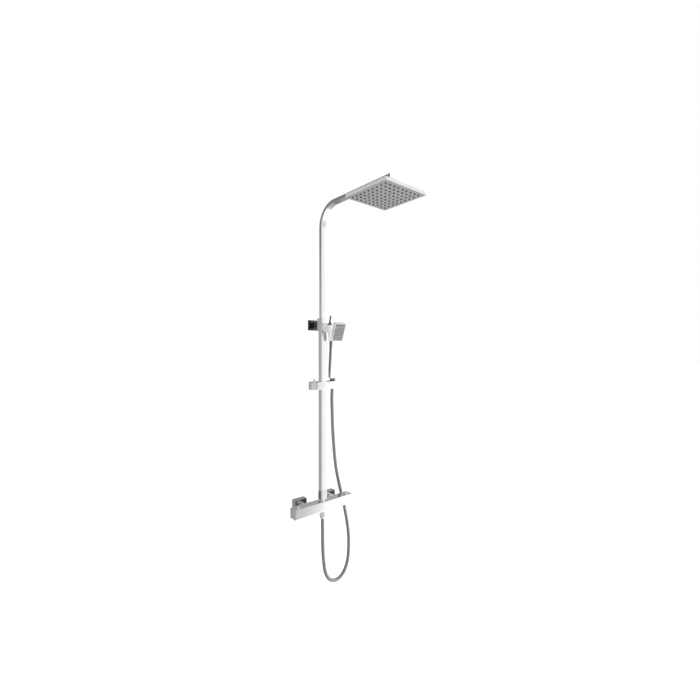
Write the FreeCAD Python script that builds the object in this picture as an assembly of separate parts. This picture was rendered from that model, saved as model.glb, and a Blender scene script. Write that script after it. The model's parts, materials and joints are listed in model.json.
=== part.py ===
import FreeCAD, Part
import math
import os

# Rainfall shower column: thermostatic bar valve, telescopic riser, rain head, slider and hand shower.
# The frame's origin is on the wall plane, midway between the two inlets. +X runs to the right along
# the wall, +Y into the wall and +Z up. All sizes are millimetres.

V = FreeCAD.Vector
X, Y, Z = V(1, 0, 0), V(0, 1, 0), V(0, 0, 1)

# Bar valve and its wall connections
INLET_SPACING = 150.0
RISER_Y = -72.0            # axis of the bar and of the riser
BAR_LENGTH = 290.0
BAR_DEPTH = 42.0
BAR_HEIGHT = 41.0
BAR_ROUND = 4.0
HANDLE_LENGTH = 45.0
HANDLE_GAP = 0.5
HANDLE_WALL = 2.6
CARTRIDGE_R = 15.0
SPINDLE_R = 5.0
BUTTON_R = 7.5
BUTTON_X = 124.5
BUTTON_PROUD = 4.0
INLET_STUD_R = 10.5
INLET_STUD_LENGTH = 18.0
INLET_THREAD_R = 13.2
INLET_BORE_R = 7.5
ROSETTE_SIDE = 57.0
ROSETTE_DEPTH = 24.0
UNION_NUT_FLATS = 30.0

# Riser
LOWER_TUBE = (28.6, 21.6)  # width along X and depth along Y
LOWER_WALL = 1.0
LOWER_TOP = 768.0
UPPER_TUBE = (25.0, 15.0)
UPPER_WALL = 1.2
UPPER_BOTTOM = 597.0
TUBE_ROUND = 3.0
UPPER_ROUND = 2.0
SLIDE_FIT = 0.05
ARM_TOP = 1247.5
ARM_BEND_R = 94.0          # outside of the bend
ARM_REACH = 400.0          # from the riser axis to the arm's end
COLLAR_Z = (26.5, 63.0)
COLLAR_GROOVES = (32.0, 46.0)

# Wall bracket and the lock of the telescopic riser
BRACKET_Z = 751.5
BRACKET_HOLES = 27.0
BRACKET_HOLE_R = 2.6
CLAMP_WIDTH = 36.0
CLAMP_BACK = 15.0
CLAMP_FRONT = 18.5
CLAMP_COVER = 8.0          # how far the cover stands in front of the clamp
CLAMP_Z = (724.0, 777.0)
LOCK_OUT = 50.0            # lock axis in front of the riser axis
LOCK_Z = 735.0
LOCK_TOP = 747.0
LOCK_BOTTOM = 682.0

# Rain head
HEAD_SIDE = 200.0
HEAD_OUT = 365.0
HEAD_Z = (1179.0, 1191.0)
HEAD_NOZZLES = 9
HEAD_PITCH = 20.0
BALL_Z = 1207.0
BALL_R = 10.0

# Slider, holder and hand shower
SLIDER_RIGHT = 21.6
HOLDER_X = 22.0            # left face; the round end is about the hand shower's axis
SLIDER_HALF_DEPTH = 23.5
SLIDER_Z = (484.0, 515.0)
SLIDER_KNOB_X = -41.5      # also the centre of the slider's round end
HANDSET_X = 47.0
HANDSET_OUT = 4.0          # cone axis in front of the riser axis, at the slider's underside
HANDSET_LEAN = 4.9
HANDLE_WIDTH = 38.0
HANDLE_ROUND = 3.0
HANDLE_TOP = 205.0         # along the hand shower's own axis, from the slider's underside
FACE_WIDTH = 54.0
FACE_HEIGHT = 75.0
FACE_THICK = 13.0
FACE_LEAN = 15.0           # beyond the handle's own lean
FACE_OUT = 26.5
FACE_UP = 238.0

# Hose
HOSE_DIAMETER = 14.0
HOSE_END = 36.0            # how far the hose reaches up inside its conical nut
# Corners of the hose's route: x, distance in front of the riser axis, z
HOSE_ROUTE = [
    (0, 0, -54), (0, 0, -123), (1.5, 0, -193), (6.5, 0, -243), (15, -2, -289), (36, -4, -325),
    (70, -8, -346), (108, -14, -346), (140, -21, -326), (160, -26, -291), (169, -31, -246),
    (173, -35, -198), (169, -38, -146), (158, -41, -82), (142, -43, -14), (118, -38, 57),
    (92, -28, 137), (75, -19, 222), (64, -13, 302), (57, -8, 381), (47, 1.6, 456), (47, 7.1, 519.9),
]

nodes = {}


def at(x, out, z):
    """Point given by its distance in front of the riser axis."""
    return V(x, RISER_Y - out, z)


def box(x, y, z):
    return Part.makeBox(x[1] - x[0], y[1] - y[0], z[1] - z[0], V(x[0], y[0], z[0]))


def centred(middle, width, depth, height):
    """Box round a point: width along X, depth along Y, height along Z."""
    size = V(width, depth, height)
    return Part.makeBox(width, depth, height, middle - size * 0.5)


def edges_along(shape, axis):
    return [e for e in shape.Edges if e.Length > 1e-6 and e.Curve.TypeId == "Part::GeomLine"
            and abs(e.tangentAt(e.FirstParameter).dot(axis)) > 0.999]


def edges_at(shape, axis, level):
    """Edges that lie in the plane across an axis at a level."""
    return [e for e in shape.Edges if all(abs(v.Point.dot(axis) - level) < 1e-4 for v in e.Vertexes)]


def soften(shape, axis, radius, ends=(), end_radius=0.0):
    """Round the edges along an axis, then the edges of the end faces at the given levels."""
    shape = shape.makeFillet(radius, edges_along(shape, axis))
    for level in ends:
        shape = shape.makeFillet(end_radius, edges_at(shape, axis, level))
    return shape


def rod(radius, start, end):
    return Part.makeCylinder(radius, (end - start).Length, start, end - start)


def ring(outer, inner, start, end):
    return rod(outer, start, end).cut(rod(inner, start, end))


def hexagon(flats, start, end):
    """Hexagonal prism about an axis along Y or Z."""
    along = end - start
    side = X.cross(along).normalize() if abs(along.x) < 1e-6 else Z
    radius = flats / math.sqrt(3)
    corners = []
    for i in range(7):
        angle = math.radians(60 * i)
        corners.append(start + X * (radius * math.cos(angle)) + side * (radius * math.sin(angle)))
    return Part.Face(Part.makePolygon(corners)).extrude(along)


def turned(profile, origin, axis=Z):
    """Solid of revolution of a closed outline of (radius, distance along the axis)."""
    points = [V(r, 0, h) for r, h in profile]
    face = Part.Face(Part.makePolygon(points + points[:1]))
    solid = face.revolve(V(0, 0, 0), Z, 360)
    solid.Placement = FreeCAD.Placement(origin, FreeCAD.Rotation(Z, axis))
    return solid


def union(shapes):
    whole = shapes[0]
    for shape in shapes[1:]:
        whole = whole.fuse(shape)
    return whole.removeSplitter()


def less(shape, cutters):
    for cutter in cutters:
        shape = shape.cut(cutter)
    return shape


def rounded_rectangle(middle, across, up, width, height, radius):
    """Closed wire in the plane of two unit vectors."""
    w, h = width / 2, height / 2
    quarter = math.sqrt(0.5)
    edges = []
    corners = [(w, h, 0), (-w, h, 90), (-w, -h, 180), (w, -h, 270)]
    arcs = []
    for cx, cy, turn in corners:
        sx, sy = math.copysign(1, cx), math.copysign(1, cy)
        hub = middle + across * (cx - sx * radius) + up * (cy - sy * radius)
        first, last = (across * sx, up * sy) if turn % 180 == 0 else (up * sy, across * sx)
        arcs.append((hub + first * radius, hub + (first + last) * (radius * quarter), hub + last * radius))
    for i, (a, m, b) in enumerate(arcs):
        edges.append(Part.Arc(a, m, b).toShape())
        edges.append(Part.LineSegment(b, arcs[(i + 1) % 4][0]).toShape())
    return Part.Wire(Part.__sortEdges__(edges))


def tube_profile(middle, across, up, size, wall, radius):
    """Face between a rounded rectangle and the one inside it."""
    outer = Part.Face(rounded_rectangle(middle, across, up, size[0], size[1], radius))
    if not wall:
        return outer
    inner = rounded_rectangle(middle, across, up, size[0] - 2 * wall, size[1] - 2 * wall, radius - wall)
    return outer.cut(Part.Face(inner)).Faces[0]


def rectangular_prism(size, radius, z, wall=0.0):
    """Upright rounded rectangle about the riser axis, solid or a tube."""
    return tube_profile(V(0, RISER_Y, z[0]), X, Y, size, wall, radius).extrude(Z * (z[1] - z[0]))


def grown(size, extra):
    return (size[0] + 2 * extra, size[1] + 2 * extra)


def coil(radius, wire, origin, height, turns):
    helix = Part.makeHelix(height / turns, height, radius)
    section = Part.Wire(Part.Circle(V(radius, 0, 0), Y, wire).toShape())
    spring = Part.Wire(helix.Edges).makePipeShell([section], True, True)
    spring.translate(origin)
    return spring


# --- Bar valve ---------------------------------------------------------------------------------

BODY_END = BAR_LENGTH / 2 - HANDLE_LENGTH
BAR_BACK = RISER_Y + BAR_DEPTH / 2
BAR_Y = (RISER_Y - BAR_DEPTH / 2, BAR_BACK)
BAR_Z = (-BAR_HEIGHT / 2, BAR_HEIGHT / 2)
SPIGOT_FACE = -38.0        # where the union washers seal
INLETS = (-INLET_SPACING / 2, INLET_SPACING / 2)


def valve_body():
    body = soften(box((-BODY_END, BODY_END), BAR_Y, BAR_Z), X, BAR_ROUND)
    for x in INLETS:
        body = body.fuse(rod(11.0, V(x, BAR_BACK - 1, 0), V(x, SPIGOT_FACE - 3, 0)))
        body = body.fuse(rod(12.5, V(x, SPIGOT_FACE - 3, 0), V(x, SPIGOT_FACE, 0)))
    ways = [rod(8.5, V(x, SPIGOT_FACE, 0), V(x, RISER_Y, 0)) for x in INLETS]
    for side in (-1, 1):
        ways.append(rod(CARTRIDGE_R + 0.6, V(side * BODY_END, RISER_Y, 0), V(side * 42, RISER_Y, 0)))
    ways.append(rod(7.0, V(-43, RISER_Y, 0), V(43, RISER_Y, 0)))
    ways.append(rod(8.0, V(0, RISER_Y, BAR_Z[0]), V(0, RISER_Y, BAR_Z[1])))
    return less(body, ways)


def cartridge(side, lands):
    """Cartridge in one end of the bar: sealing lands on a slimmer barrel, bored for its spindle."""
    barrel = rod(CARTRIDGE_R - 1.2, V(side * 45, RISER_Y, 0), V(side * BODY_END, RISER_Y, 0))
    parts = [barrel]
    for start, end in lands:
        parts.append(rod(CARTRIDGE_R + 0.6, V(side * start, RISER_Y, 0), V(side * end, RISER_Y, 0)))
    spindle_bore = rod(SPINDLE_R + SLIDE_FIT, V(side * 78, RISER_Y, 0), V(side * (BODY_END + 1), RISER_Y, 0))
    mixing_port = rod(5.5, V(side * 44, RISER_Y, 0), V(side * 66, RISER_Y, 0))
    return less(union(parts), [spindle_bore, mixing_port])


def spindle(side):
    """Splined spindle that the handle turns."""
    shaft = rod(SPINDLE_R, V(side * 80, RISER_Y, 0), V(side * 128, RISER_Y, 0))
    grooves = []
    for i in range(12):
        angle = math.radians(30 * i)
        offset = V(0, math.cos(angle), math.sin(angle)) * (SPINDLE_R + 0.2)
        grooves.append(rod(0.6, V(side * 108, RISER_Y, 0) + offset, V(side * 130, RISER_Y, 0) + offset))
    return less(shaft, grooves)


def handle(side):
    """Hollow square end handle with a hub for the spindle and a well for its button."""
    near, far = BODY_END + HANDLE_GAP, BAR_LENGTH / 2
    span = sorted((side * near, side * far))
    shell = soften(box(span, BAR_Y, BAR_Z), X, BAR_ROUND, [side * far], 2.0)
    room = sorted((side * near, side * (far - HANDLE_WALL)))
    inner_y = (BAR_Y[0] + HANDLE_WALL, BAR_Y[1] - HANDLE_WALL)
    inner_z = (BAR_Z[0] + HANDLE_WALL, BAR_Z[1] - HANDLE_WALL)
    shell = shell.cut(box(room, inner_y, inner_z))
    hub = rod(9.0, V(side * 106, RISER_Y, 0), V(side * (far - 1), RISER_Y, 0))
    well = rod(BUTTON_R + 2.0, V(side * BUTTON_X, RISER_Y, 4), V(side * BUTTON_X, RISER_Y, BAR_Z[1] - 1))
    spindle_bore = rod(SPINDLE_R, V(side * 105, RISER_Y, 0), V(side * 128, RISER_Y, 0))
    button_bore = rod(BUTTON_R + SLIDE_FIT, V(side * BUTTON_X, RISER_Y, 7), V(side * BUTTON_X, RISER_Y, 30))
    return less(union([shell, hub, well]), [spindle_bore, button_bore])


def button(side):
    top = BAR_Z[1] + BUTTON_PROUD
    cap = rod(BUTTON_R, V(side * BUTTON_X, RISER_Y, 12.5), V(side * BUTTON_X, RISER_Y, top))
    cap = cap.makeFillet(1.0, edges_at(cap, Z, top))
    return cap.cut(rod(BUTTON_R - 1.5, V(side * BUTTON_X, RISER_Y, 12), V(side * BUTTON_X, RISER_Y, top - 2)))


def eccentric(x):
    """Wall connector: solid stud behind the wall plane, hexagon and bored union thread in front."""
    stud = rod(INLET_STUD_R, V(x, INLET_STUD_LENGTH, 0), V(x, 0, 0))
    flats = hexagon(24.0, V(x, 0, 0), V(x, -8, 0))
    thread = rod(INLET_THREAD_R, V(x, -8, 0), V(x, SPIGOT_FACE + 2, 0))
    bore = rod(INLET_BORE_R, V(x, 0, 0), V(x, SPIGOT_FACE, 0))
    return union([stud, flats, thread]).cut(bore)


def rosette(x):
    """Square box cover over one wall connector, open towards the wall."""
    half = ROSETTE_SIDE / 2
    shell = box((x - half, x + half), (-ROSETTE_DEPTH, 0), (-half, half))
    shell = soften(shell, Y, 2.0, [-ROSETTE_DEPTH], 1.2)
    inner = half - 1.5
    room = box((x - inner, x + inner), (1.5 - ROSETTE_DEPTH, 1), (-inner, inner))
    return less(shell, [room, rod(INLET_THREAD_R + 0.3, V(x, 0, 0), V(x, -30, 0))])


def union_nut(x):
    nut = hexagon(UNION_NUT_FLATS, V(x, -26.5, 0), V(x, SPIGOT_FACE - 9, 0))
    outline = [(0, 0), (15.6, 0), (17.4, 2), (17.4, 18.5), (15.6, 20.5), (0, 20.5)]
    chamfer = turned(outline, V(x, -26.5, 0), -Y)
    nut = nut.common(chamfer)
    lip = rod(11.05, V(x, -30, 0), V(x, -50, 0))
    return less(nut, [lip, rod(INLET_THREAD_R, V(x, -26, 0), V(x, SPIGOT_FACE - 3, 0))])


def check_valve(x):
    """Non-return insert: a sleeve with a cross web and a closing disc."""
    sleeve = ring(8.5, 7.0, V(x, SPIGOT_FACE - 0.5, 0), V(x, SPIGOT_FACE - 14, 0))
    hub = V(x, SPIGOT_FACE - 7, 0)
    webs = [centred(hub, 14.6, 1.6, 1.6), centred(hub, 1.6, 1.6, 14.6)]
    disc = rod(5.5, hub, hub - Y * 3)
    return union([sleeve] + webs + [disc])


def bar_valve():
    nodes["valve_body"] = valve_body()
    nodes["thermostatic_cartridge"] = cartridge(1, [(50, 56), (72, 78), (92, BODY_END)])
    nodes["flow_cartridge"] = cartridge(-1, [(50, 60), (88, BODY_END)])
    rings = []
    for side in (-1, 1):
        start = V(side * BODY_END, RISER_Y, 0)
        rings.append(ring(17.0, 11.5, start, start + X * side * 3))
    nodes["handle_stop_rings"] = Part.makeCompound(rings)
    for name, side in (("temperature", 1), ("flow", -1)):
        nodes[name + "_handle"] = handle(side)
        nodes[name + "_spindle"] = spindle(side)
        nodes[name + "_button"] = button(side)
        foot = V(side * BUTTON_X, RISER_Y, 7.6)
        nodes[name + "_button_spring"] = coil(4.8, 0.5, foot, 14.2, 5)
    nodes["eccentric_connectors"] = Part.makeCompound([eccentric(x) for x in INLETS])
    nodes["wall_rosettes"] = Part.makeCompound([rosette(x) for x in INLETS])
    nodes["union_nuts"] = Part.makeCompound([union_nut(x) for x in INLETS])
    washers = [ring(12.5, 8.0, V(x, SPIGOT_FACE, 0), V(x, SPIGOT_FACE + 2, 0)) for x in INLETS]
    washers.append(ring(10.3, 5.0, at(0, 0, -36), at(0, 0, -38)))
    washers.append(ring(9.3, 8.5, at(0, 0, 38.2), at(0, 0, 40.2)))
    nodes["seals_and_washers"] = Part.makeCompound(washers)
    nodes["check_valves"] = Part.makeCompound([check_valve(x) for x in INLETS])


# --- Riser -------------------------------------------------------------------------------------

def upper_riser():
    """Telescopic tube that bends forward into the horizontal arm, as one profile carried along its path."""
    half = UPPER_TUBE[1] / 2
    middle_r = ARM_BEND_R - half
    bend_z = ARM_TOP - ARM_BEND_R
    start = at(0, 0, UPPER_BOTTOM)
    profile = tube_profile(start, X, Y, UPPER_TUBE, UPPER_WALL, UPPER_ROUND)
    upright = profile.extrude(Z * (bend_z - UPPER_BOTTOM))
    at_bend = tube_profile(at(0, 0, bend_z), X, Y, UPPER_TUBE, UPPER_WALL, UPPER_ROUND)
    bend = at_bend.revolve(at(0, middle_r, bend_z), X, 90)
    arm_z = bend_z + middle_r
    at_arm = tube_profile(at(0, middle_r, arm_z), X, Z, UPPER_TUBE, UPPER_WALL, UPPER_ROUND)
    arm = at_arm.extrude(Y * (middle_r - ARM_REACH + 2))
    nipple_hole = rod(6.0, at(0, HEAD_OUT, arm_z - half - 1), at(0, HEAD_OUT, arm_z))
    return union([upright, bend, arm]).cut(nipple_hole)


def riser():
    tube_room = grown(LOWER_TUBE, -LOWER_WALL)
    inner_round = TUBE_ROUND - LOWER_WALL
    lock_hole = rod(3.5, at(0, 0, LOCK_Z), at(0, 30, LOCK_Z))
    lower = rectangular_prism(LOWER_TUBE, TUBE_ROUND, (30, LOWER_TOP), LOWER_WALL)
    nodes["riser_lower"] = lower.cut(lock_hole)
    outer = grown(LOWER_TUBE, 1.2)
    collar = rectangular_prism(outer, TUBE_ROUND + 1.2, COLLAR_Z)
    collar = collar.makeFillet(0.8, edges_at(collar, Z, COLLAR_Z[1]))
    for low in COLLAR_GROOVES:
        collar = collar.cut(rectangular_prism(grown(outer, 1), TUBE_ROUND + 2.2, (low, low + 4), 1.7))
    tube_seat = rectangular_prism(LOWER_TUBE, TUBE_ROUND, (30, 70))
    nodes["riser_collar"] = less(collar, [tube_seat, rod(8.5, at(0, 0, 20), at(0, 0, 31))])
    nipple = [rod(8.0, at(0, 0, 8), at(0, 0, BAR_Z[1])),
              hexagon(20.0, at(0, 0, BAR_Z[1]), at(0, 0, COLLAR_Z[0])),
              rod(8.5, at(0, 0, COLLAR_Z[0]), at(0, 0, 46))]
    nodes["riser_nipple"] = union(nipple).cut(rod(5.5, at(0, 0, 7), at(0, 0, 47)))
    foot = rectangular_prism(tube_room, inner_round, (30, 52))
    groove = ring(9.4, 8.4, at(0, 0, 38), at(0, 0, 40.4))
    nodes["riser_foot"] = less(foot, [rod(8.5, at(0, 0, 29), at(0, 0, 53)), groove])

    bush = rectangular_prism(tube_room, inner_round, (724, LOWER_TOP))
    bush = union([bush, rectangular_prism(LOWER_TUBE, TUBE_ROUND, (LOWER_TOP, LOWER_TOP + 2))])
    way = rectangular_prism(grown(UPPER_TUBE, SLIDE_FIT), UPPER_ROUND + SLIDE_FIT, (720, 780))
    nodes["guide_bush"] = less(bush, [way, lock_hole])

    nodes["riser_upper"] = upper_riser()
    cap_middle = at(0, ARM_REACH - 2, ARM_TOP - UPPER_TUBE[1] / 2)
    lid = tube_profile(cap_middle, X, Z, UPPER_TUBE, 0, UPPER_ROUND).extrude(-Y * 2)
    lid = lid.makeFillet(0.8, edges_at(lid, Y, RISER_Y - ARM_REACH))
    bung = tube_profile(cap_middle, X, Z, grown(UPPER_TUBE, -UPPER_WALL), 0, UPPER_ROUND - UPPER_WALL)
    nodes["arm_end_cap"] = union([lid, bung.extrude(Y * 8)])
    piston = [rectangular_prism(grown(tube_room, -0.3), 1.8, (583, UPPER_BOTTOM)),
              rectangular_prism(grown(UPPER_TUBE, -UPPER_WALL), UPPER_ROUND - UPPER_WALL, (UPPER_BOTTOM, 612))]
    seal_groove = rectangular_prism(grown(tube_room, 1), 3.2, (588, 592), 2.7)
    nodes["riser_piston"] = less(union(piston), [seal_groove, rod(5.0, at(0, 0, 580), at(0, 0, 615))])
    nodes["riser_piston_seal"] = rectangular_prism(grown(tube_room, -SLIDE_FIT), 1.95, (588.1, 591.9), 1.5)


# --- Cam locks of the riser and of the slider ----------------------------------------------------

CAM_R = 4.3
CAM_OFFSET = 0.6


def cam_spindle(foot, toward, lengths):
    """Vertical spindle: slim journal, eccentric cam that bears on a plunger, and a neck above it."""
    journal, cam, neck = lengths
    low = rod(3.0, foot, foot + Z * journal)
    lobe_foot = foot + Z * journal + toward * CAM_OFFSET
    lobe = rod(CAM_R, lobe_foot, lobe_foot + Z * cam)
    stem = rod(3.8, foot + Z * (journal + cam), foot + Z * (journal + cam + neck))
    return [low, lobe, stem]


def plunger(axis_point, toward, reach):
    """Plunger that the cam pushes against the tube, with a clearance at both ends."""
    start = axis_point + toward * (CAM_R + CAM_OFFSET + 0.2)
    return rod(3.0, start, axis_point + toward * (reach - 0.1))


def riser_lock():
    axis = at(0, LOCK_OUT, 0)
    mid = axis + Z * LOCK_Z
    bell = turned([(0, LOCK_BOTTOM), (4.2, LOCK_BOTTOM), (5.4, LOCK_BOTTOM + 1.5), (9.2, LOCK_TOP - 8),
                   (9.6, LOCK_TOP), (0, LOCK_TOP)], axis)
    wide = rounded_rectangle(at(0, CLAMP_FRONT + CLAMP_COVER, 738), X, Z, 16, 24, 4)
    slim = rounded_rectangle(at(0, LOCK_OUT - 5, 734), X, Z, 12, 20, 4)
    neck = Part.makeLoft([wide, slim], True)
    chamber = rod(5.2, axis + Z * 729, axis + Z * (LOCK_TOP + 1))
    journal = rod(3.05, axis + Z * 700, axis + Z * 730)
    plunger_way = rod(3.05, mid, at(0, CLAMP_FRONT, LOCK_Z))
    nodes["lock_housing"] = less(union([bell, neck]), [chamber, journal, plunger_way])
    toward = Y
    spindle_parts = cam_spindle(axis + Z * 702, toward, (29, 8, 9))
    rim = turned([(0, LOCK_TOP + 0.4), (10.2, LOCK_TOP + 0.4), (10.5, LOCK_TOP + 1.4), (10.0, LOCK_TOP + 3),
                  (6.5, LOCK_TOP + 6), (4.6, LOCK_TOP + 10), (4.2, LOCK_TOP + 14), (0, LOCK_TOP + 14)], axis)
    nodes["lock_spindle"] = union(spindle_parts + [rim])
    foot = axis + Z * (LOCK_TOP + 14)
    tip_middle = foot + V(0, -0.2, 1).normalize() * 22
    pin = rod(3.4, foot, tip_middle)
    tip = Part.makeSphere(3.4, tip_middle)
    below = box((-9, 9), (RISER_Y - 60, RISER_Y - 40), (700, LOCK_TOP + 14))
    nodes["lock_lever"] = union([pin, tip]).cut(below)
    nodes["lock_plunger"] = plunger(mid, toward, LOCK_OUT - UPPER_TUBE[1] / 2)


# --- Wall bracket --------------------------------------------------------------------------------

def wall_bracket():
    centre = V(0, 0, BRACKET_Z)
    plate = centred(centre - Y * 2, 36, 4, 36)
    boss = centred(centre - Y * 13, 17, 18, 17)
    spots = [centre + X * side * BRACKET_HOLES / 2 for side in (-1, 1)]
    holes = [rod(BRACKET_HOLE_R, spot, spot - Y * 5) for spot in spots]
    nodes["bracket_plate"] = less(union([plate, boss]), holes)
    cover = centred(centre - Y * 4.5, 49, 9, 43)
    cover = soften(cover, Y, 2.0, [-9.0], 1.0)
    room = centred(centre - Y * 3.75, 46, 7.5, 40)
    nodes["bracket_rosette"] = less(cover, [room, centred(centre - Y * 9, 17.2, 4, 17.2)])
    arm_back = RISER_Y + CLAMP_BACK
    arm = soften(box((-11, 11), (arm_back, -9), (BRACKET_Z - 11, BRACKET_Z + 11)), Y, 2.0)
    socket = centred(centre - Y * 15.6, 17.1, 13.4, 17.1)
    grub_hole = rod(2.5, V(-12, -15, BRACKET_Z), V(-8, -15, BRACKET_Z))
    nodes["bracket_arm"] = less(arm, [socket, grub_hole])
    grub = rod(2.5, V(-10.8, -15, BRACKET_Z), V(-8.6, -15, BRACKET_Z))
    nodes["bracket_grub_screw"] = grub.cut(rod(1.2, V(-11, -15, BRACKET_Z), V(-9.6, -15, BRACKET_Z)))

    foot = at(0, (CLAMP_FRONT - CLAMP_BACK) / 2, CLAMP_Z[0])
    clamp = tube_profile(foot, X, Y, (CLAMP_WIDTH, CLAMP_FRONT + CLAMP_BACK), 0, 3.0)
    clamp = clamp.extrude(Z * (CLAMP_Z[1] - CLAMP_Z[0]))
    clamp = clamp.makeFillet(1.2, edges_at(clamp, Z, CLAMP_Z[1]))
    slant = [(-1 - CLAMP_BACK, 739.8), (3.4 - CLAMP_BACK, 722.8), (-1 - CLAMP_BACK, 722.8)]
    points = [at(-30, out, z) for out, z in slant]
    clamp = clamp.cut(Part.Face(Part.makePolygon(points + points[:1])).extrude(X * 60))
    tube_seat = rectangular_prism(LOWER_TUBE, TUBE_ROUND, (CLAMP_Z[0] - 1, LOWER_TOP + 2))
    way = rectangular_prism(grown(UPPER_TUBE, 0.4), UPPER_ROUND, (LOWER_TOP, CLAMP_Z[1] + 1))
    plunger_way = rod(3.5, at(0, 0, LOCK_Z), at(0, 30, LOCK_Z))
    nodes["bracket_clamp"] = less(clamp, [tube_seat, way, plunger_way])
    shield = [(-11, 757), (11, 757), (13.5, 746), (8.5, 720), (-8.5, 720), (-13.5, 746)]
    points = [at(x, CLAMP_FRONT, z) for x, z in shield]
    cover = Part.Face(Part.makePolygon(points + points[:1])).extrude(-Y * CLAMP_COVER)
    cover = cover.makeFillet(4.0, edges_along(cover, Y))
    cover = cover.makeFillet(1.5, edges_at(cover, Y, RISER_Y - CLAMP_FRONT - CLAMP_COVER))
    nodes["clamp_cover"] = cover.cut(plunger_way)


# --- Rain head -----------------------------------------------------------------------------------

def nozzle_grid(grid, pitch, radii, start, end, middle, across, up):
    """Rows of equal cones or rods, from one offset of each grid point to another."""
    profile = [(0, 0), (radii[0], 0), (radii[1], (end - start).Length), (0, (end - start).Length)]
    pieces = []
    for i in range(grid[0]):
        for j in range(grid[1]):
            column, row = i - (grid[0] - 1) / 2, j - (grid[1] - 1) / 2
            spot = middle + across * (column * pitch[0]) + up * (row * pitch[1])
            pieces.append(turned(profile, spot + start, (end - start).normalize()))
    return pieces


def rain_head():
    ball = at(0, HEAD_OUT, BALL_Z)
    arm_under = ARM_TOP - UPPER_TUBE[1]
    boss = rod(14.0, at(0, HEAD_OUT, 1223), at(0, HEAD_OUT, arm_under))
    boss = boss.makeFillet(1.0, edges_at(boss, Z, 1223))
    stem = rod(6.0, ball, at(0, HEAD_OUT, arm_under + 5))
    nodes["ball_stem"] = union([Part.makeSphere(BALL_R, ball), stem, boss]).cut(
        rod(3.5, ball - Z * 20, at(0, HEAD_OUT, arm_under + 6)))

    def shell(inner, outer, height):
        band = rod(outer + 5, ball - Z * height, ball + Z * height)
        return Part.makeSphere(outer, ball).cut(Part.makeSphere(inner, ball)).common(band)

    nodes["ball_liner"] = shell(BALL_R + SLIDE_FIT, BALL_R + 1.6, 6)
    seat = rod(14.5, ball - Z * 7, ball + Z * 7).cut(Part.makeSphere(BALL_R + 1.65, ball))
    nodes["seat_ring"] = seat
    nut = turned([(0, -14), (17.2, -14), (18, -13), (18, 8.5), (16.5, 10), (0, 10)], ball)
    ways = [rod(14.55, ball - Z * 15, ball + Z * 7.1), rod(10.6, ball, ball + Z * 11)]
    nodes["swivel_nut"] = less(nut, ways)

    half = HEAD_SIDE / 2
    centre = at(0, HEAD_OUT, 0)
    top = HEAD_Z[1]
    plate = box((-half, half), (centre.y - half, centre.y + half), (HEAD_Z[0] + 0.5, top))
    plate = soften(plate, Z, 5.0, [top], 1.5)
    inner = half - 1.5
    room = box((-inner, inner), (centre.y - inner, centre.y + inner), (HEAD_Z[0], top - 1.5))
    plate = plate.cut(soften(room, Z, 3.5))
    socket = rod(14.5, centre + Z * (top - 1), ball - Z * 7.3)
    ball_room = Part.makeSphere(BALL_R + 1.65, ball)
    nodes["head_shell"] = less(union([plate, socket]), [rod(5.0, centre + Z * (top - 3), ball), ball_room])

    inside = half - 1.8
    face = box((-inside, inside), (centre.y - inside, centre.y + inside), (HEAD_Z[0], HEAD_Z[0] + 2.5))
    face = soften(face, Z, 3.2)
    grid, pitch = (HEAD_NOZZLES, HEAD_NOZZLES), (HEAD_PITCH, HEAD_PITCH)
    under = nozzle_grid(grid, pitch, (3.5, 3.5), Z * (HEAD_Z[0] - 1), Z * (HEAD_Z[0] + 3), centre, X, Y)
    nodes["head_face"] = face.cut(Part.makeCompound(under))
    mat = centred(centre + Z * (HEAD_Z[0] + 3.4), 180, 180, 1.8)
    tips = nozzle_grid(grid, pitch, (3.4, 2.8), Z * (HEAD_Z[0] + 3), Z * (HEAD_Z[0] - 1.8), centre, X, Y)
    jets = nozzle_grid(grid, pitch, (0.9, 0.7), Z * (HEAD_Z[0] + 5), Z * (HEAD_Z[0] - 3), centre, X, Y)
    nodes["head_nozzle_mat"] = mat.fuse(Part.makeCompound(tips)).removeSplitter().cut(Part.makeCompound(jets))
    frame = centred(centre + Z * (HEAD_Z[0] + 5.4), 188, 188, 5.8)
    nodes["head_gasket"] = less(frame, [centred(centre + Z * (HEAD_Z[0] + 5), 180, 180, 12)])


# --- Slider and holder -----------------------------------------------------------------------------

SLIDER_MIDDLE = (SLIDER_Z[0] + SLIDER_Z[1]) / 2
SLIDER_Y = (RISER_Y - SLIDER_HALF_DEPTH, RISER_Y + SLIDER_HALF_DEPTH)


def handset_axis():
    lean = math.radians(HANDSET_LEAN)
    return V(0, -math.sin(lean), math.cos(lean))


def posed(shape):
    """Turn a shape modelled upright about the cone's foot into the hand shower's lean."""
    shape.rotate(at(HANDSET_X, HANDSET_OUT, SLIDER_Z[0]), X, HANDSET_LEAN)
    return shape


def along_cone(height, out=0.0):
    """Point on the upright, not yet leaning, hand shower axis."""
    return at(HANDSET_X, HANDSET_OUT + out, SLIDER_Z[0] + height)


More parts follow.
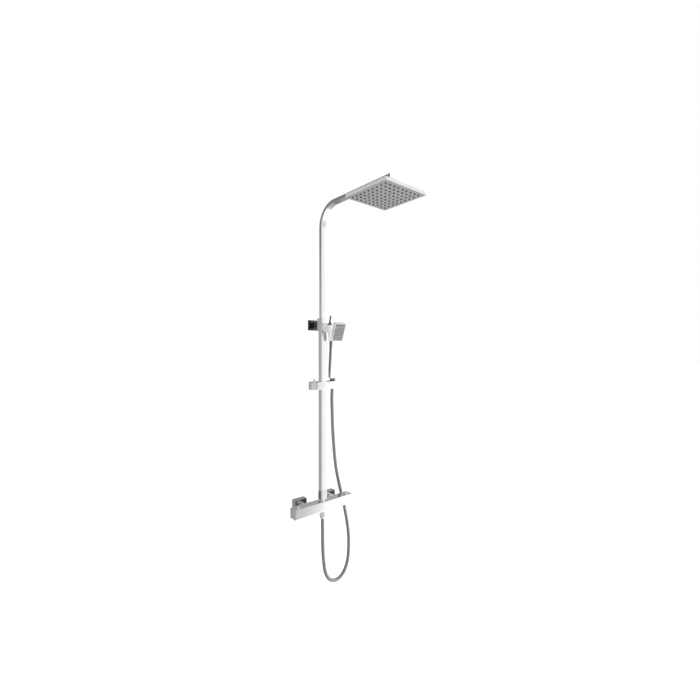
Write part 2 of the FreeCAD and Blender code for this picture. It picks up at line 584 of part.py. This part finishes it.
def slider():
    round_end = rod(SLIDER_HALF_DEPTH, at(SLIDER_KNOB_X, 0, SLIDER_Z[0]), at(SLIDER_KNOB_X, 0, SLIDER_Z[1]))
    body = union([box((SLIDER_KNOB_X, SLIDER_RIGHT), SLIDER_Y, SLIDER_Z), round_end])
    body = body.makeFillet(1.0, edges_at(body, Z, SLIDER_Z[0]) + edges_at(body, Z, SLIDER_Z[1]))
    liner_size = grown(LOWER_TUBE, 1.2)
    cam_foot = at(SLIDER_KNOB_X, 0, 488)
    knob_axis = at(SLIDER_KNOB_X, 0, 0)
    mid = knob_axis + Z * SLIDER_MIDDLE
    shoe_way = rod(3.05, mid, at(0, 0, SLIDER_MIDDLE))
    pivot_bore = rod(4.0, at(15.5, 0, SLIDER_MIDDLE), at(23, 0, SLIDER_MIDDLE))
    washer_seat = rod(9.5, at(SLIDER_RIGHT - 1.2, 0, SLIDER_MIDDLE), at(23, 0, SLIDER_MIDDLE))
    cutters = [rectangular_prism(liner_size, TUBE_ROUND + 1.2, (480, 520)), shoe_way, pivot_bore,
               washer_seat, rod(5.2, knob_axis + Z * 494, knob_axis + Z * 516),
               rod(3.05, knob_axis + Z * 487, knob_axis + Z * 495)]
    nodes["slider_body"] = less(body, cutters)
    liner = rectangular_prism(liner_size, TUBE_ROUND + 1.2, (SLIDER_Z[0] + 0.5, SLIDER_Z[1] - 0.5))
    way = rectangular_prism(grown(LOWER_TUBE, 0.1), TUBE_ROUND + 0.1, (480, 520))
    nodes["slider_liner"] = less(liner, [way, rod(3.5, at(-30, 0, SLIDER_MIDDLE), at(0, 0, SLIDER_MIDDLE))])
    cam = cam_spindle(cam_foot, X, (7.5, 8, 12))
    knob = turned([(0, 515.4), (6.6, 515.4), (6.6, 517), (4.4, 518.5), (4.4, 527.5), (3.6, 528.5),
                   (0, 528.5)], knob_axis)
    nodes["slider_knob"] = union(cam + [knob])
    nodes["slider_shoe"] = plunger(mid, X, -SLIDER_KNOB_X - LOWER_TUBE[0] / 2)
    nodes["holder_pivot"] = rod(4.0, at(15.8, 0, SLIDER_MIDDLE), at(31.6, 0, SLIDER_MIDDLE))
    washer_face = at(SLIDER_RIGHT, 0, SLIDER_MIDDLE)
    nodes["holder_washer"] = ring(9.4, 4.1, washer_face - X * 1.2, washer_face + X * 0.1)

    holder_end = rod(SLIDER_HALF_DEPTH, at(HANDSET_X, 0, SLIDER_Z[0]), at(HANDSET_X, 0, SLIDER_Z[1]))
    holder = union([box((HOLDER_X, HANDSET_X), SLIDER_Y, SLIDER_Z), holder_end])
    holder = holder.makeFillet(1.0, edges_at(holder, Z, SLIDER_Z[0]) + edges_at(holder, Z, SLIDER_Z[1]))
    cone = posed(Part.makeCone(9.573, 11.67, 50, along_cone(-9), Z))
    pivot_way = rod(4.05, at(21, 0, SLIDER_MIDDLE), at(32, 0, SLIDER_MIDDLE))
    nodes["holder"] = less(holder, [cone, pivot_way])


# --- Hand shower -----------------------------------------------------------------------------------

def face_frame():
    """Centre, upward and outward directions of the spray face, before the whole hand shower leans."""
    lean = math.radians(FACE_LEAN)
    up = V(0, -math.sin(lean), math.cos(lean))
    outward = V(0, -math.cos(lean), -math.sin(lean))
    return along_cone(FACE_UP, FACE_OUT), up, outward


def slab(width, height, near, far, radius):
    """Rounded slab parallel to the spray face between two depths behind it."""
    centre, up, outward = face_frame()
    wire = rounded_rectangle(centre - outward * near, X, up, width, height, radius)
    return Part.Face(wire).extrude(outward * (near - far))


def hand_shower():
    centre, up, outward = face_frame()
    head = slab(FACE_WIDTH + 3, FACE_HEIGHT + 3, 0, FACE_THICK, 5)
    head = head.makeFillet(2.0, [e for e in head.Edges if all(
        abs((v.Point - centre).dot(outward) + FACE_THICK) < 1e-3 for v in e.Vertexes)])
    sections = []
    for height, width, back, front in ((44, 36, -8.5, 7), (60, HANDLE_WIDTH, -9.5, 8),
                                       (150, HANDLE_WIDTH, -10, 7.5), (185, HANDLE_WIDTH, -11.5, 8),
                                       (HANDLE_TOP, HANDLE_WIDTH, -14, 10)):
        middle = along_cone(height, (back + front) / 2)
        sections.append(rounded_rectangle(middle, X, Y, width, front - back, HANDLE_ROUND))
    grip = Part.makeLoft(sections, True)
    low = rounded_rectangle(along_cone(HANDLE_TOP, -2), X, Y, HANDLE_WIDTH, 24, HANDLE_ROUND)
    high = rounded_rectangle(along_cone(232, 9.5), X, Y, 34, 14, HANDLE_ROUND)
    neck = Part.makeLoft([low, high], True)
    waterway = rod(4.5, along_cone(50, -0.5), along_cone(215, -3))
    chamber = slab(48, 66, 1.9, FACE_THICK - 3, 3)
    face_seat = slab(FACE_WIDTH, FACE_HEIGHT, -1, 2.0, 3.5)
    tail_seat = rod(5.5, along_cone(40), along_cone(54))
    link = Part.makeCylinder(4.5, 30, along_cone(210, -3), V(0, -0.8, 1).normalize())
    shell = less(union([grip, neck, head]), [waterway, tail_seat, chamber, face_seat, link])
    nodes["handset_shell"] = posed(shell)

    grid, pitch = (6, 8), (8.0, 6.7)
    grid_centre = centre - up * 5.0
    plate = slab(FACE_WIDTH, FACE_HEIGHT, 0.2, 2.0, 3.5)
    holes = nozzle_grid(grid, pitch, (1.7, 1.7), outward * -3, outward * 1, grid_centre, X, up)
    slot_centre = centre + up * (FACE_HEIGHT / 2 - 9)
    slot = Part.Face(rounded_rectangle(slot_centre, X, up, 46, 3.6, 1.7)).extrude(outward * -3)
    nodes["handset_face"] = posed(plate.cut(Part.makeCompound(holes)).cut(slot))
    strip = Part.Face(rounded_rectangle(slot_centre - outward * 0.8, X, up, 45.8, 3.4, 1.6))
    nodes["handset_slot_strip"] = posed(strip.extrude(outward * -1.1))
    mat_wire = rounded_rectangle(grid_centre - outward * 2.0, X, up, 48, 56, 3)
    mat = Part.Face(mat_wire).extrude(outward * -1.4)
    tips = nozzle_grid(grid, pitch, (1.6, 1.1), outward * -2.2, outward * 1.3, grid_centre, X, up)
    nodes["handset_nozzle_mat"] = posed(mat.fuse(Part.makeCompound(tips)).removeSplitter())

    tail = ring(5.5, 4.0, along_cone(38), along_cone(54))
    nodes["handset_tail"] = posed(tail)
    outline = [(0, -2), (9.4, -2), (9.75, -1.2), (11.16, 32.5), (11.6, 33.2), (11.6, 42.4), (11.0, 43.4),
               (0, 43.4)]
    nut = turned(outline, along_cone(0))
    hollow = HOSE_DIAMETER / 2 + 0.5
    nut = less(nut, [rod(hollow, along_cone(-3), along_cone(HOSE_END + 0.5)),
                     rod(4.0, along_cone(30), along_cone(45)), rod(5.5, along_cone(38), along_cone(45))])
    nodes["hose_cone_nut"] = posed(nut)


# --- Hose ------------------------------------------------------------------------------------------

def rounded_path(points):
    """Straight runs joined by tangent arcs, each as large as its two runs allow."""
    edges = []
    last = points[0]
    radii = []
    for before, corner, after in zip(points, points[1:], points[2:]):
        into, away = (corner - before), (after - corner)
        reach = 0.45 * min(into.Length, away.Length)
        into.normalize()
        away.normalize()
        turn = math.acos(max(-1.0, min(1.0, into.dot(away))))
        radius = reach / math.tan(turn / 2)
        radii.append(radius)
        first, final = corner - into * reach, corner + away * reach
        inward = (away - into).normalize()
        middle = corner + inward * (radius / math.cos(turn / 2) - radius)
        edges.append(Part.LineSegment(last, first).toShape())
        edges.append(Part.Arc(first, middle, final).toShape())
        last = final
    edges.append(Part.LineSegment(last, points[-1]).toShape())
    return Part.Wire(edges), radii


def hose():
    points = [at(*corner) for corner in HOSE_ROUTE]
    path, radii = rounded_path(points)
    radius = HOSE_DIAMETER / 2
    section = Part.Wire(Part.Circle(points[0], points[1] - points[0], radius).toShape())
    tube = path.makePipeShell([section], True, False)
    nodes["shower_hose"] = tube
    print("hose radii", [round(r) for r in radii])
    ratio = tube.Volume / (math.pi * radius ** 2 * path.Length)
    print("hose length", round(path.Length, 1), "volume ratio", ratio)

    outlet_top = BAR_Z[0]
    nipple = [rod(8.0, at(0, 0, -6), at(0, 0, outlet_top)),
              rod(11.5, at(0, 0, outlet_top), at(0, 0, outlet_top - 3)),
              rod(10.3, at(0, 0, outlet_top - 3), at(0, 0, -36))]
    nodes["outlet_nipple"] = union(nipple).cut(rod(5.0, at(0, 0, -5), at(0, 0, -37)))
    nut = turned([(0, 0), (11.6, 0), (12.5, 1), (12.5, 23), (9.0, 30.1), (0, 30.1)], at(0, 0, -23.9), -Z)
    cutters = [rod(10.3, at(0, 0, -23), at(0, 0, -38)), rod(5.0, at(0, 0, -37), at(0, 0, -55))]
    for i in range(24):
        angle = math.radians(15 * i)
        spot = V(math.cos(angle), math.sin(angle), 0) * 12.9
        cutters.append(rod(0.9, at(0, 0, -26.5) + spot, at(0, 0, -45) + spot))
    nodes["hose_outlet_nut"] = less(nut, cutters)


bar_valve()
riser()
riser_lock()
wall_bracket()
rain_head()
slider()
hand_shower()
hose()

os.makedirs("parts", exist_ok=True)
for name, shape in nodes.items():
    if not shape.isValid():
        print("not valid:", name)
    shape.exportStep("parts/" + name + ".step")
print(len(nodes), "nodes")
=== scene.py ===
import json
import math

import bmesh
import bpy
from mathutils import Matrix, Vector


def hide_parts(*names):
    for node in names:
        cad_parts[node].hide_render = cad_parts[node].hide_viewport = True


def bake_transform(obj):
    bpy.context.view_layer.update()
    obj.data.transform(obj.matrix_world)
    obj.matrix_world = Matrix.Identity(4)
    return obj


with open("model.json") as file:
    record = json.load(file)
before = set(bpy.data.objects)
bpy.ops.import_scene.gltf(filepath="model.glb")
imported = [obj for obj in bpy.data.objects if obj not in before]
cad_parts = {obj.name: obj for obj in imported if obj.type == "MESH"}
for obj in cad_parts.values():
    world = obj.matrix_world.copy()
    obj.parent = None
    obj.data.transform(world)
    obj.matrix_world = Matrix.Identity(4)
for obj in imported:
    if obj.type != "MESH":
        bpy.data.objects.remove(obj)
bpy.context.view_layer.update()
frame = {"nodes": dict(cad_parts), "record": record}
scene = bpy.context.scene
scene.view_settings.view_transform = "Standard"

RISER_Y = -0.072


# --- Camera ------------------------------------------------------------------------------------

SENSOR_WIDTH = 36.0
FOCAL_LENGTH = 20.571
CAMERA_PLACE = (-0.996, -1.414, 0.646)
CAMERA_LOOK = (0.649448, 0.760406, 0.0)


def make_camera():
    data = bpy.data.cameras.new("camera")
    data.sensor_width = SENSOR_WIDTH
    data.lens = FOCAL_LENGTH
    data.clip_start = 0.02
    data.clip_end = 100.0
    camera = bpy.data.objects.new("camera", data)
    scene.collection.objects.link(camera)
    camera.location = CAMERA_PLACE
    camera.rotation_mode = "QUATERNION"
    camera.rotation_quaternion = Vector(CAMERA_LOOK).to_track_quat("-Z", "Y")
    scene.camera = camera


make_camera()

# --- Hose --------------------------------------------------------------------------------------

HOSE_RADIUS = 0.007
HOSE_PITCH = 0.0032        # one turn of the wound strip
HOSE_GROOVE = 0.00075
HOSE_SIDES = 20
HOSE_STEPS = 8             # rings in one turn of the strip
CROWN_SHARE = 0.70         # part of a turn that the rounded crown takes; the step takes the rest
CROWN_DEPTH = 0.10
HOSE_JOINT_Z = 0.395       # where the second piece of the hose begins

# x, distance in front of the riser axis, z, in metres
HOSE_ROUTE = [
    (0, 0, -0.054), (0, 0, -0.123), (0.0015, 0, -0.193), (0.0065, 0, -0.243), (0.015, -0.002, -0.289),
    (0.036, -0.004, -0.325), (0.070, -0.008, -0.346), (0.108, -0.014, -0.346), (0.140, -0.021, -0.326),
    (0.160, -0.026, -0.291), (0.169, -0.031, -0.246), (0.173, -0.035, -0.198), (0.169, -0.038, -0.146),
    (0.158, -0.041, -0.082), (0.142, -0.043, -0.014), (0.118, -0.038, 0.057), (0.092, -0.028, 0.137),
    (0.075, -0.019, 0.222), (0.064, -0.013, 0.302), (0.057, -0.008, 0.381), (0.047, 0.0016, 0.456),
    (0.047, 0.0071, 0.5199),
]


def hose_line():
    """Points along the smooth curve that has the route as its control points."""
    curve = bpy.data.curves.new("hose_route", "CURVE")
    curve.dimensions = "3D"
    curve.resolution_u = 24
    spline = curve.splines.new("NURBS")
    spline.points.add(len(HOSE_ROUTE) - 1)
    for point, (x, out, z) in zip(spline.points, HOSE_ROUTE):
        point.co = (x, RISER_Y - out, z, 1.0)
    spline.order_u = 3
    spline.use_endpoint_u = True
    holder = bpy.data.objects.new("hose_route", curve)
    scene.collection.objects.link(holder)
    line = bpy.data.meshes.new_from_object(holder)
    points = [v.co.copy() for v in line.vertices]
    bpy.data.objects.remove(holder)
    bpy.data.meshes.remove(line)
    return points


def even_points(points, step):
    """Points an equal distance apart along a line, as near to the step as its length allows."""
    lengths = [0.0]
    for a, b in zip(points, points[1:]):
        lengths.append(lengths[-1] + (b - a).length)
    count = round(lengths[-1] / step)
    found = []
    leg = 0
    for i in range(count + 1):
        along = lengths[-1] * i / count
        while leg < len(points) - 2 and lengths[leg + 1] < along:
            leg += 1
        share = (along - lengths[leg]) / max(lengths[leg + 1] - lengths[leg], 1e-9)
        found.append(points[leg].lerp(points[leg + 1], share))
    return found


def strip_profile(phase):
    """Depth of the groove between two turns of the strip: rounded crowns with a narrow step."""
    phase = phase % 1.0
    if phase < CROWN_SHARE:
        half = CROWN_SHARE / 2
        return CROWN_DEPTH * (min(abs(phase - half), half) / half) ** 2
    across = (phase - CROWN_SHARE) / (1 - CROWN_SHARE)
    return CROWN_DEPTH + (1 - CROWN_DEPTH) * math.sin(math.pi * across)


def hose_tube(name, rings, depths):
    """Closed tube through rings of points, with the depth of the groove kept on each point."""
    mesh = bpy.data.meshes.new(name)
    faces = []
    last = len(rings) - 1
    for i in range(last):
        for j in range(HOSE_SIDES):
            k = (j + 1) % HOSE_SIDES
            a, b = i * HOSE_SIDES, (i + 1) * HOSE_SIDES
            faces.append((a + j, a + k, b + k, b + j))
    faces.append(tuple(reversed(range(HOSE_SIDES))))
    faces.append(tuple(last * HOSE_SIDES + j for j in range(HOSE_SIDES)))
    mesh.from_pydata([point for ring in rings for point in ring], [], faces)
    mesh.polygons.foreach_set("use_smooth", [True] * (len(faces) - 2) + [False] * 2)
    layer = mesh.attributes.new("groove", "FLOAT", "POINT")
    layer.data.foreach_set("value", [depth for ring in depths for depth in ring])
    mesh.update()
    tube = bpy.data.objects.new(name, mesh)
    scene.collection.objects.link(tube)
    return tube


def make_hose():
    """The wound hose, in one piece up to the slider and a second, separate piece above it."""
    centres = even_points(hose_line(), HOSE_PITCH / HOSE_STEPS)
    side = Vector((1, 0, 0))
    rings, depths = [], []
    last = len(centres) - 1
    for i, centre in enumerate(centres):
        tangent = (centres[min(i + 1, last)] - centres[max(i - 1, 0)]).normalized()
        side = (side - tangent * side.dot(tangent)).normalized()
        up = tangent.cross(side)
        ring, grooves = [], []
        for j in range(HOSE_SIDES):
            depth = strip_profile(i / HOSE_STEPS + j / HOSE_SIDES)
            angle = 2 * math.pi * j / HOSE_SIDES
            radius = HOSE_RADIUS - HOSE_GROOVE * depth
            ring.append(centre + (side * math.cos(angle) + up * math.sin(angle)) * radius)
            grooves.append(depth)
        rings.append(ring)
        depths.append(grooves)
    joint = max(i for i, centre in enumerate(centres) if centre.z < HOSE_JOINT_Z)

    lower = hose_tube("shower_hose_wound", rings[:joint + 1], depths[:joint + 1])
    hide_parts("shower_hose")
    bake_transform(lower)

    upper = hose_tube("shower_hose_top", rings[joint:], depths[joint:])
    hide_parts("shower_hose")
    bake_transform(upper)
    return [lower, upper]


hose_pieces = make_hose()

# --- Button springs ------------------------------------------------------------------------------


def make_spring(side):
    """A button's spring, as its own piece."""
    coil = frame["nodes"][side + "_button_spring"]
    mesh = coil.data.copy()
    mesh.transform(coil.matrix_world)
    spring = bpy.data.objects.new(side + "_button_coil", mesh)
    scene.collection.objects.link(spring)
    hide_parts(side + "_button_spring")
    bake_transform(spring)
    return spring


springs = [make_spring("temperature"), make_spring("flow")]

# --- Materials -----------------------------------------------------------------------------------

def new_material(name):
    material = bpy.data.materials.new(name)
    material.use_nodes = True
    tree = material.node_tree
    tree.nodes.clear()
    output = tree.nodes.new("ShaderNodeOutputMaterial")
    shader = tree.nodes.new("ShaderNodeBsdfPrincipled")
    tree.links.new(shader.outputs["BSDF"], output.inputs["Surface"])
    return material, tree, shader


def noise(tree, scale, detail=3.0, stretch=(1, 1, 1), rough=0.5):
    """Noise in the object's own space, scale in cycles per metre."""
    place = tree.nodes.new("ShaderNodeTexCoord")
    mapping = tree.nodes.new("ShaderNodeMapping")
    mapping.inputs["Scale"].default_value = stretch
    texture = tree.nodes.new("ShaderNodeTexNoise")
    texture.inputs["Scale"].default_value = scale
    texture.inputs["Detail"].default_value = detail
    texture.inputs["Roughness"].default_value = rough
    tree.links.new(place.outputs["Object"], mapping.inputs["Vector"])
    tree.links.new(mapping.outputs["Vector"], texture.inputs["Vector"])
    return texture.outputs["Fac"]


def ramp(tree, factor, stops):
    """Colours along a factor; each stop is (place, grey or colour)."""
    node = tree.nodes.new("ShaderNodeValToRGB")
    elements = node.color_ramp.elements
    while len(elements) < len(stops):
        elements.new(0.5)
    for element, (place, colour) in zip(elements, stops):
        if isinstance(colour, (int, float)):
            colour = (colour, colour, colour)
        element.position = place
        element.color = (*colour, 1.0)
    tree.links.new(factor, node.inputs["Fac"])
    return node.outputs["Color"]


def spread(tree, factor, low, high, from_low=0.3, from_high=0.7):
    """Map a factor from one range to another, held at its ends."""
    node = tree.nodes.new("ShaderNodeMapRange")
    node.inputs["From Min"].default_value = from_low
    node.inputs["From Max"].default_value = from_high
    node.inputs["To Min"].default_value = low
    node.inputs["To Max"].default_value = high
    tree.links.new(factor, node.inputs["Value"])
    return node.outputs["Result"]


def bump(tree, shader, height, distance, strength=1.0):
    node = tree.nodes.new("ShaderNodeBump")
    node.inputs["Strength"].default_value = strength
    node.inputs["Distance"].default_value = distance
    tree.links.new(height, node.inputs["Height"])
    tree.links.new(node.outputs["Normal"], shader.inputs["Normal"])


def multiply(tree, first, second):
    node = tree.nodes.new("ShaderNodeMix")
    node.data_type = "RGBA"
    node.blend_type = "MULTIPLY"
    node.inputs["Factor"].default_value = 1.0
    tree.links.new(first, node.inputs[6])
    tree.links.new(second, node.inputs[7])
    return node.outputs[2]


def shades(tint, low, high):
    """A darker and a lighter shade of one colour."""
    return tuple(c * low for c in tint), tuple(c * high for c in tint)


def plated(name, tint, rough=(0.035, 0.10), wave=0.00002, wave_scale=60.0):
    """Bright plating: a faint film of dried water, wiped smears and a slightly uneven polish."""
    material, tree, shader = new_material(name)
    shader.inputs["Metallic"].default_value = 1.0
    low, high = shades(tint, 0.94, 1.0)
    film = noise(tree, 9.0, 4.0)
    spots = noise(tree, 260.0, 2.0)
    body = ramp(tree, film, [(0.35, low), (0.60, high)])
    marks = ramp(tree, spots, [(0.70, 1.0), (0.78, 0.95)])
    tree.links.new(multiply(tree, body, marks), shader.inputs["Base Color"])
    smear = noise(tree, 26.0, 5.0, (1, 1, 0.25), 0.65)
    tree.links.new(spread(tree, smear, rough[0], rough[1]), shader.inputs["Roughness"])
    bump(tree, shader, noise(tree, wave_scale, 1.0), wave)
    return material


def satin(name, tint, rough=(0.24, 0.34), metallic=1.0):
    """Satin plating with a fine, even grain."""
    material, tree, shader = new_material(name)
    shader.inputs["Metallic"].default_value = metallic
    low, high = shades(tint, 0.93, 1.0)
    tree.links.new(ramp(tree, noise(tree, 30.0, 4.0), [(0.3, low), (0.7, high)]), shader.inputs["Base Color"])
    tree.links.new(spread(tree, noise(tree, 14.0, 4.0), rough[0], rough[1]), shader.inputs["Roughness"])
    bump(tree, shader, noise(tree, 2600.0, 1.0), 0.000015)
    return material


def wound_metal(name):
    """Wound chrome strip of the hose, dull, with painted shade: darker than the chrome and darkest down in
    the grooves.
    """
    material, tree, shader = new_material(name)
    shader.inputs["Metallic"].default_value = 1.0
    depth = tree.nodes.new("ShaderNodeAttribute")
    depth.attribute_name = "groove"
    # painted shade: the base colour is darker than chrome and darkens further with the depth of the groove
    painted_groove_shade = ramp(tree, depth.outputs["Fac"], [(0.05, 0.42), (0.30, 0.27), (0.85, 0.035)])
    film = ramp(tree, noise(tree, 40.0, 4.0), [(0.3, 0.88), (0.7, 1.0)])
    tree.links.new(multiply(tree, painted_groove_shade, film), shader.inputs["Base Color"])
    tree.links.new(spread(tree, noise(tree, 180.0, 3.0), 0.14, 0.30), shader.inputs["Roughness"])
    bump(tree, shader, noise(tree, 900.0, 2.0), 0.00002)
    return material


def machined(name, tint):
    """Turned brass or steel with fine tool lines."""
    material, tree, shader = new_material(name)
    shader.inputs["Metallic"].default_value = 1.0
    low, high = shades(tint, 0.82, 1.0)
    tree.links.new(ramp(tree, noise(tree, 55.0, 4.0), [(0.3, low), (0.7, high)]), shader.inputs["Base Color"])
    lines = noise(tree, 220.0, 2.0, (12, 12, 1))
    tree.links.new(spread(tree, lines, 0.20, 0.38), shader.inputs["Roughness"])
    bump(tree, shader, lines, 0.00003)
    return material


def moulded(name, tint, rough, coat=0.0, grain=1400.0, depth=0.00002):
    """Moulded plastic or rubber with a fine surface grain and slightly uneven colour."""
    material, tree, shader = new_material(name)
    low, high = shades(tint, 0.88, 1.0)
    tree.links.new(ramp(tree, noise(tree, 70.0, 5.0), [(0.3, low), (0.7, high)]), shader.inputs["Base Color"])
    tree.links.new(spread(tree, noise(tree, 120.0, 3.0), rough[0], rough[1]), shader.inputs["Roughness"])
    shader.inputs["Coat Weight"].default_value = coat
    bump(tree, shader, noise(tree, grain, 2.0), depth)
    return material


chrome = plated("chrome", (0.80, 0.81, 0.82))
plastic_chrome = plated("plated_plastic", (0.78, 0.79, 0.80), (0.04, 0.11), 0.00004, 45.0)
# painted shade: a near-black copy of the chrome, for the bracket rosette and arm
painted_shade_chrome = plated("painted_shade_chrome", (0.095, 0.097, 0.10))
# painted shade: a dark copy of the chrome, for the lock lever, the lock spindle and the hose cone nut
pin_chrome_painted_shade = plated("pin_chrome_painted_shade", (0.19, 0.193, 0.197))
# painted shade: a darker copy of the chrome, for the wall rosettes
cover_chrome_painted_shade = plated("cover_chrome_painted_shade", (0.56, 0.565, 0.57))
# painted shade: a slightly darker copy of the chrome, for the riser collar
collar_chrome_painted_shade = plated("collar_chrome_painted_shade", (0.70, 0.71, 0.72))
spray_plate = satin("spray_face", (0.31, 0.315, 0.32), (0.24, 0.34), 0.5)
head_plate = satin("head_face_satin", (0.47, 0.48, 0.49), (0.26, 0.36), 0.5)
head_satin = satin("head_shell_satin", (0.67, 0.68, 0.69), (0.28, 0.36), 0.08)
lock_satin = satin("lock_satin", (0.78, 0.79, 0.80), (0.22, 0.30), 0.12)
nozzle_grey = moulded("nozzle_silicone", (0.12, 0.123, 0.126), (0.45, 0.62))
nozzle_dark = moulded("nozzle_silicone_dark", (0.02, 0.021, 0.022), (0.40, 0.55))
trim = moulded("slot_trim", (0.04, 0.04, 0.042), (0.15, 0.25), 0.4)
hose_strip = wound_metal("hose_strip")
brass = machined("machined_brass", (0.78, 0.60, 0.34))
steel = machined("zinc_steel", (0.60, 0.61, 0.62))
acetal = moulded("white_acetal", (0.80, 0.80, 0.78), (0.35, 0.48))
nitrile = moulded("black_nitrile", (0.025, 0.025, 0.026), (0.50, 0.65))

FINISHES = {
    "chrome": chrome, "plated_plastic": plastic_chrome, "spray_face": spray_plate,
    "nozzle_rubber": nozzle_grey, "dark_trim": trim, "hose_metal": hose_strip, "brass": brass,
    "steel": steel, "white_plastic": acetal, "black_rubber": nitrile,
}
# Pieces whose finish isn't the one of their slot; the darker chrome copies among them are painted shade
OWN_FINISH = {
    "head_face": head_plate, "head_shell": head_satin, "head_nozzle_mat": nozzle_dark,
    "lock_housing": lock_satin, "clamp_cover": lock_satin,
    "lock_lever": pin_chrome_painted_shade, "lock_spindle": pin_chrome_painted_shade,
    "bracket_rosette": painted_shade_chrome, "bracket_arm": painted_shade_chrome,
    "hose_cone_nut": pin_chrome_painted_shade, "wall_rosettes": cover_chrome_painted_shade, "riser_collar": collar_chrome_painted_shade,
}


def paint(piece, material):
    piece.data.materials.clear()
    piece.data.materials.append(material)


for subpart in frame["record"]["subparts"]:
    node = frame["nodes"].get(subpart["node"])
    if node:
        paint(node, FINISHES[subpart["material_slot"]])
for name, material in OWN_FINISH.items():
    paint(frame["nodes"][name], material)
for piece in hose_pieces:
    paint(piece, hose_strip)
for piece in springs:
    paint(piece, steel)

# --- Stage and light -------------------------------------------------------------------------------

FLOOR_Z = -1.05
FLOOR_RADIUS = 60.0
STUDIO_STRENGTH = 1.9
OVERHEAD_STRENGTH = 1.9
OVERHEAD_SPREAD = 70       # degrees
OVERHEAD_AIM = (-0.10, 0.25, -1.0)


def make_floor():
    mesh = bpy.data.meshes.new("floor")
    built = bmesh.new()
    bmesh.ops.create_circle(built, cap_ends=True, segments=96, radius=FLOOR_RADIUS)
    built.to_mesh(mesh)
    built.free()
    floor = bpy.data.objects.new("floor", mesh)
    scene.collection.objects.link(floor)
    floor.location = (0, 0, FLOOR_Z)
    material, tree, shader = new_material("pale_floor")
    tree.links.new(ramp(tree, noise(tree, 2.0, 3.0), [(0.3, 0.93), (0.7, 0.95)]), shader.inputs["Base Color"])
    shader.inputs["Roughness"].default_value = 0.9
    paint(floor, material)
    floor.visible_glossy = False


def make_world():
    """Soft studio: white from the front right, grey round the left, the back and overhead."""
    world = bpy.data.worlds.new("studio")
    scene.world = world
    world.use_nodes = True
    tree = world.node_tree
    tree.nodes.clear()
    output = tree.nodes.new("ShaderNodeOutputWorld")
    place = tree.nodes.new("ShaderNodeTexCoord")
    parts = tree.nodes.new("ShaderNodeSeparateXYZ")
    tree.links.new(place.outputs["Generated"], parts.inputs["Vector"])
    turn = tree.nodes.new("ShaderNodeMath")
    turn.operation = "ARCTAN2"
    tree.links.new(parts.outputs["Y"], turn.inputs[0])
    tree.links.new(parts.outputs["X"], turn.inputs[1])
    around = spread(tree, turn.outputs["Value"], 0.0, 1.0, -math.pi, math.pi)
    front = [
        (0.14, 0.38), (0.28, 0.34), (0.328, 0.29), (0.341, 0.36), (0.348, 0.45), (0.351, 0.55),
        (0.356, 0.80), (0.37, 0.95), (0.49, 1.0),
    ]
    level = ramp(tree, around, [(0.00, 0.36)] + front + [
        (0.505, 0.50), (0.60, 0.26), (0.6395, 0.25), (0.644, 0.05), (0.675, 0.05), (0.70, 0.20),
        (0.86, 0.235), (0.96, 0.30),
    ])
    raised = ramp(tree, around, [(0.00, 0.30)] + front + [
        (0.54, 0.60), (0.60, 0.24), (0.64, 0.24), (0.70, 0.22), (0.78, 0.15), (0.86, 0.12), (0.96, 0.20),
    ])

    def over(below, above, low, high):
        """Pass from one colour to the next between two heights of the direction."""
        mix = tree.nodes.new("ShaderNodeMix")
        mix.data_type = "RGBA"
        tree.links.new(spread(tree, parts.outputs["Z"], 0.0, 1.0, low, high), mix.inputs["Factor"])
        for socket, colour in ((mix.inputs[6], below), (mix.inputs[7], above)):
            if isinstance(colour, float):
                socket.default_value = (colour, colour, colour, 1)
            else:
                tree.links.new(colour, socket)
        return mix.outputs[2]

    walls = over(level, raised, 0.10, 0.28)
    walls = over(walls, 0.30, 0.45, 0.80)
    studio = tree.nodes.new("ShaderNodeBackground")
    studio.inputs["Strength"].default_value = STUDIO_STRENGTH
    tree.links.new(walls, studio.inputs["Color"])
    plain = tree.nodes.new("ShaderNodeBackground")
    plain.inputs["Color"].default_value = (1, 1, 1, 1)
    seen = tree.nodes.new("ShaderNodeLightPath")
    choose = tree.nodes.new("ShaderNodeMixShader")
    tree.links.new(seen.outputs["Is Camera Ray"], choose.inputs["Fac"])
    tree.links.new(studio.outputs["Background"], choose.inputs[1])
    tree.links.new(plain.outputs["Background"], choose.inputs[2])
    tree.links.new(choose.outputs["Shader"], output.inputs["Surface"])


def make_overhead():
    """Broad, soft light from above that reaches the matt surfaces and the floor but shows in no metal."""
    data = bpy.data.lights.new("overhead", "SUN")
    data.energy = OVERHEAD_STRENGTH
    data.angle = math.radians(OVERHEAD_SPREAD)
    light = bpy.data.objects.new("overhead", data)
    scene.collection.objects.link(light)
    light.rotation_mode = "QUATERNION"
    light.rotation_quaternion = Vector(OVERHEAD_AIM).to_track_quat("-Z", "Y")
    light.visible_glossy = False


make_floor()
make_world()
make_overhead()
